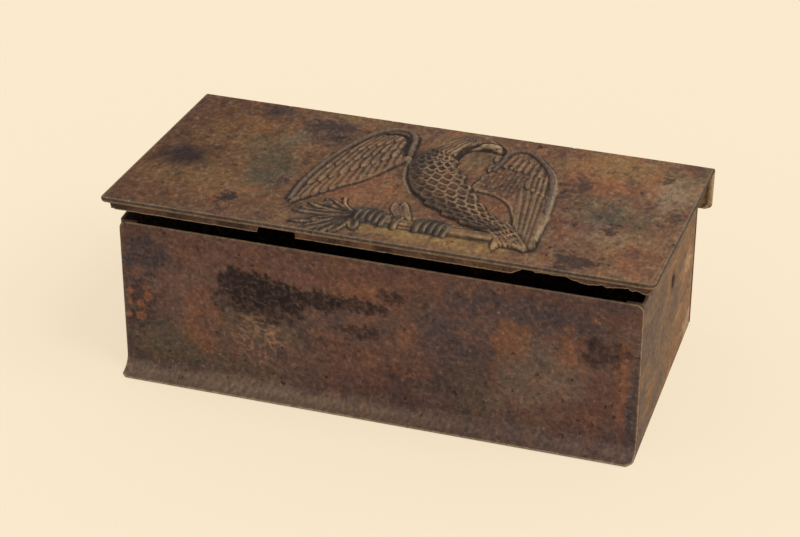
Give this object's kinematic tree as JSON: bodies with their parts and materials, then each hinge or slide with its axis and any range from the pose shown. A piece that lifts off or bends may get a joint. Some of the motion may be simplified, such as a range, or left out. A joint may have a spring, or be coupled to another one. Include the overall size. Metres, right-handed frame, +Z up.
{
  "type": "matchbox",
  "caption": "Rusted sheet-iron matchbox with an overhanging hinged lid embossed with an eagle on a branch, standing slightly ajar on its wire hinge.",
  "frame": {"origin": "centre of the base, on the surface that the box stands on, midway between the outer faces of the walls", "axes": "+X along the length to the right as seen from the front, +Y to the back where the hinge is, +Z up"},
  "size_m": [0.1256, 0.067, 0.0471],
  "materials": {
    "box_iron": "dark red-brown rust with black and ochre patches, matt",
    "lid_iron": "brown rust worn to a dull patina, pitted, matt",
    "rim_iron": "dark brown rusted edge, matt",
    "hinge_iron": "rusted wire and rolled sheet, matt"
  },
  "bodies": {
    "box": {"front_panel": "box_iron", "back_panel": "box_iron", "left_end_panel": "box_iron", "right_end_panel": "box_iron", "bottom_plate": "box_iron", "hinge_leaf": "hinge_iron", "hinge_wire": "hinge_iron"},
    "lid": {"lid_plate": "lid_iron", "lid_rim_front": "rim_iron", "lid_rim_left": "rim_iron", "lid_rim_right": "rim_iron"}
  },
  "joints": [
    {"name": "lid_hinge", "type": "hinge", "parent": "box", "child": "lid", "pos_m": [0, 0.0308, 0.0301], "axis": [-1, 0, 0], "range_deg": [-5.7, 154]}
  ]
}
